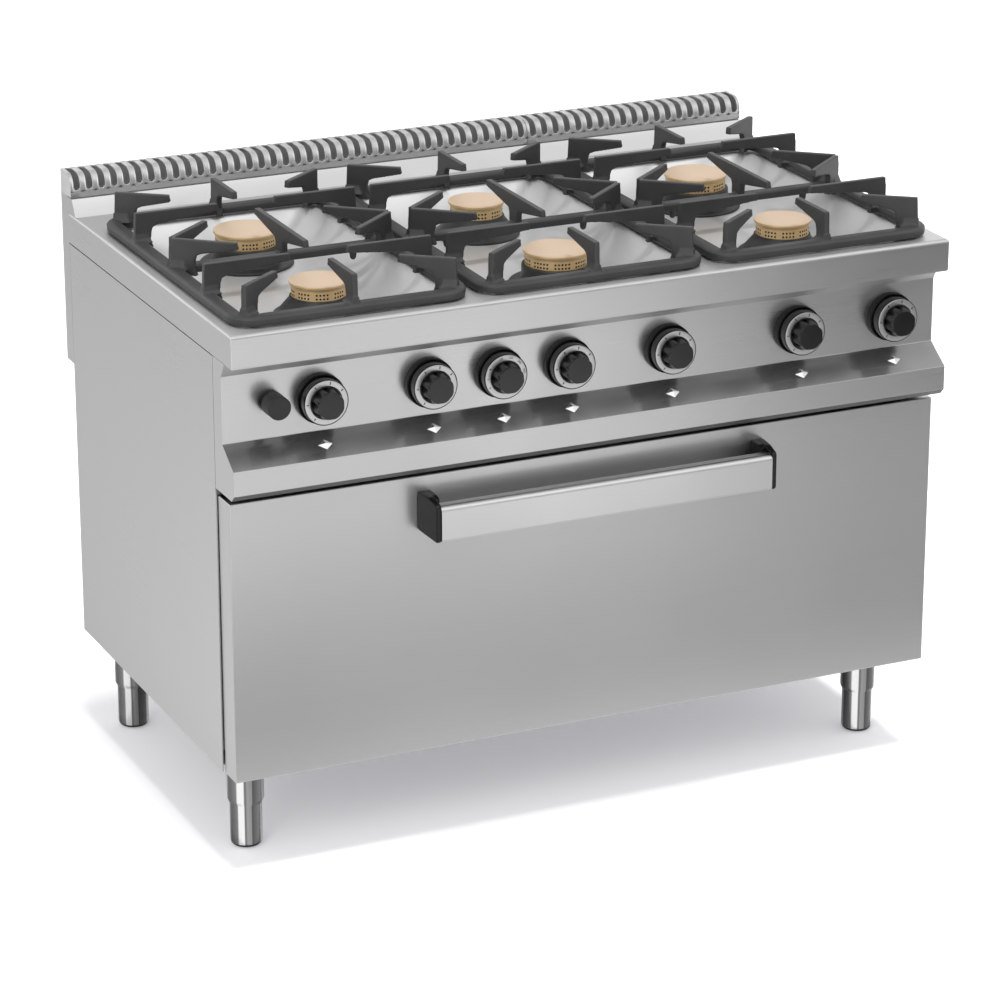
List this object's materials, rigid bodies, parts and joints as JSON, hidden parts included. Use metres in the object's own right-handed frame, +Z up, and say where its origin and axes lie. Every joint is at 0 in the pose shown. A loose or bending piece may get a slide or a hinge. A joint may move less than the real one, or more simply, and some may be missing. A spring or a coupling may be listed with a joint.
{
  "type": "commercial gas range",
  "caption": "Free-standing restaurant gas range: open burners under cast iron grates, knob panel, slotted rear flue and a full-width drop-door oven on adjustable legs.",
  "frame": {"origin": "centre of the bounding box at floor level", "axes": "+X to the right seen from the front, +Y to the back, +Z up"},
  "size_m": [1.2, 0.778, 0.936],
  "materials": {
    "brushed_stainless": "horizontal brushed grain, satin",
    "door_stainless": "horizontal brushed grain, satin, darker towards the right by reflection",
    "pan_stainless": "bright pressed sheet, soft reflections",
    "galvanised": "plain galvanised sheet behind and below",
    "cast_iron": "matte enamelled casting, fine sand texture",
    "burner_iron": "black enamelled casting",
    "burner_brass": "pale satin brass",
    "knob_plastic": "black moulded, satin",
    "collar_plastic": "black moulded",
    "button_plastic": "dark grey-black moulded, fine texture",
    "handle_aluminium": "satin anodised, brushed lengthways",
    "handle_plastic": "black, smooth satin",
    "marker_steel": "polished stud",
    "leg_stainless": "turned satin tube",
    "oven_enamel": "dark vitreous enamel",
    "wire_chrome": "chromed wire",
    "mineral_wool": "pressed mineral wool",
    "seal_fibre": "braided glass-fibre seal",
    "gas_steel": "zinc-plated steel",
    "gas_brass": "machined brass"
  },
  "bodies": {
    "cabinet": {"side_panel_right": "brushed_stainless", "side_panel_left": "brushed_stainless", "back_panel": "galvanised", "base_panel": "galvanised", "worktop": "brushed_stainless", "burner_pans": "pan_stainless", "control_panel": "brushed_stainless", "index_markers": "marker_steel", "splash_panel": "brushed_stainless", "flue_box": "brushed_stainless", "flue_cap_left": "brushed_stainless", "flue_cap_right": "brushed_stainless", "oven_liner": "oven_enamel", "oven_rear_wall": "oven_enamel", "oven_insulation": "mineral_wool", "oven_flue_duct": "galvanised", "oven_sole_plate": "oven_enamel", "oven_burner": "gas_steel", "rack_guides": "wire_chrome", "oven_rack": "wire_chrome", "door_seal": "seal_fibre", "hinge_brackets": "gas_steel", "gas_manifold": "gas_steel", "gas_taps": "gas_brass", "oven_thermostat": "gas_brass", "burner_pipes": "gas_steel", "oven_pipe": "gas_steel", "gas_main_pipe": "gas_steel", "burner_bodies_large": "burner_iron", "burner_bodies_small": "burner_iron", "pilot_burners": "gas_steel", "knob_collars": "collar_plastic", "leg_sleeves": "leg_stainless"},
    "oven_door": {"door_outer_panel": "door_stainless", "door_inner_panel": "oven_enamel", "door_insulation": "mineral_wool", "door_hinge_arms": "gas_steel", "handle_bar": "handle_aluminium", "handle_end_caps": "handle_plastic"},
    "igniter_button": {"igniter_button": "button_plastic"},
    "knob_1": {"knob_1": "knob_plastic"},
    "knob_2": {"knob_2": "knob_plastic"},
    "knob_oven": {"knob_oven": "knob_plastic"},
    "knob_3": {"knob_3": "knob_plastic"},
    "knob_4": {"knob_4": "knob_plastic"},
    "knob_5": {"knob_5": "knob_plastic"},
    "knob_6": {"knob_6": "knob_plastic"},
    "burner_cap_left_front": {"burner_cap_left_front": "burner_brass"},
    "burner_cap_left_rear": {"burner_cap_left_rear": "burner_brass"},
    "grate_left": {"grate_left": "cast_iron"},
    "burner_cap_centre_front": {"burner_cap_centre_front": "burner_brass"},
    "burner_cap_centre_rear": {"burner_cap_centre_rear": "burner_brass"},
    "grate_centre": {"grate_centre": "cast_iron"},
    "burner_cap_right_front": {"burner_cap_right_front": "burner_brass"},
    "burner_cap_right_rear": {"burner_cap_right_rear": "burner_brass"},
    "grate_right": {"grate_right": "cast_iron"},
    "foot_front_left": {"foot_front_left": "leg_stainless"},
    "foot_front_right": {"foot_front_right": "leg_stainless"},
    "foot_rear_left": {"foot_rear_left": "leg_stainless"},
    "foot_rear_right": {"foot_rear_right": "leg_stainless"}
  },
  "joints": [
    {"name": "door_hinge", "type": "hinge", "parent": "cabinet", "child": "oven_door", "pos_m": [0, -0.279, 0.166], "axis": [1, 0, 0], "range_deg": [0, 90], "stiffness_Nm_per_rad": 25, "springref_deg": -25.78},
    {"name": "igniter_press", "type": "slide", "parent": "cabinet", "child": "igniter_button", "axis": [0, 1, 0], "range_m": [0, 0.006], "stiffness_N_per_m": 800, "springref_m": -0.002},
    {"name": "knob_1_turn", "type": "hinge", "parent": "cabinet", "child": "knob_1", "pos_m": [-0.446, -0.331, 0.744], "axis": [0, -1, 0], "range_deg": [0, 180]},
    {"name": "knob_2_turn", "type": "hinge", "parent": "cabinet", "child": "knob_2", "pos_m": [-0.27, -0.331, 0.744], "axis": [0, -1, 0], "range_deg": [0, 180]},
    {"name": "knob_oven_turn", "type": "hinge", "parent": "cabinet", "child": "knob_oven", "pos_m": [-0.155, -0.331, 0.744], "axis": [0, -1, 0], "range_deg": [0, 300]},
    {"name": "knob_3_turn", "type": "hinge", "parent": "cabinet", "child": "knob_3", "pos_m": [-0.041, -0.331, 0.744], "axis": [0, -1, 0], "range_deg": [0, 180]},
    {"name": "knob_4_turn", "type": "hinge", "parent": "cabinet", "child": "knob_4", "pos_m": [0.13, -0.331, 0.744], "axis": [0, -1, 0], "range_deg": [0, 180]},
    {"name": "knob_5_turn", "type": "hinge", "parent": "cabinet", "child": "knob_5", "pos_m": [0.355, -0.331, 0.744], "axis": [0, -1, 0], "range_deg": [0, 180]},
    {"name": "knob_6_turn", "type": "hinge", "parent": "cabinet", "child": "knob_6", "pos_m": [0.52, -0.331, 0.744], "axis": [0, -1, 0], "range_deg": [0, 180]},
    {"name": "burner_cap_left_front_lift", "type": "slide", "parent": "cabinet", "child": "burner_cap_left_front", "axis": [0, 0, 1], "range_m": [0, 0.03]},
    {"name": "burner_cap_left_rear_lift", "type": "slide", "parent": "cabinet", "child": "burner_cap_left_rear", "axis": [0, 0, 1], "range_m": [0, 0.03]},
    {"name": "grate_left_lift", "type": "slide", "parent": "cabinet", "child": "grate_left", "axis": [0, 0, 1], "range_m": [0, 0.1]},
    {"name": "burner_cap_centre_front_lift", "type": "slide", "parent": "cabinet", "child": "burner_cap_centre_front", "axis": [0, 0, 1], "range_m": [0, 0.03]},
    {"name": "burner_cap_centre_rear_lift", "type": "slide", "parent": "cabinet", "child": "burner_cap_centre_rear", "axis": [0, 0, 1], "range_m": [0, 0.03]},
    {"name": "grate_centre_lift", "type": "slide", "parent": "cabinet", "child": "grate_centre", "axis": [0, 0, 1], "range_m": [0, 0.1]},
    {"name": "burner_cap_right_front_lift", "type": "slide", "parent": "cabinet", "child": "burner_cap_right_front", "axis": [0, 0, 1], "range_m": [0, 0.03]},
    {"name": "burner_cap_right_rear_lift", "type": "slide", "parent": "cabinet", "child": "burner_cap_right_rear", "axis": [0, 0, 1], "range_m": [0, 0.03]},
    {"name": "grate_right_lift", "type": "slide", "parent": "cabinet", "child": "grate_right", "axis": [0, 0, 1], "range_m": [0, 0.1]},
    {"name": "foot_front_left_height", "type": "slide", "parent": "cabinet", "child": "foot_front_left", "axis": [0, 0, 1], "range_m": [-0.05, 0]},
    {"name": "foot_front_right_height", "type": "slide", "parent": "cabinet", "child": "foot_front_right", "axis": [0, 0, 1], "range_m": [-0.05, 0]},
    {"name": "foot_rear_left_height", "type": "slide", "parent": "cabinet", "child": "foot_rear_left", "axis": [0, 0, 1], "range_m": [-0.05, 0]},
    {"name": "foot_rear_right_height", "type": "slide", "parent": "cabinet", "child": "foot_rear_right", "axis": [0, 0, 1], "range_m": [-0.05, 0]}
  ]
}
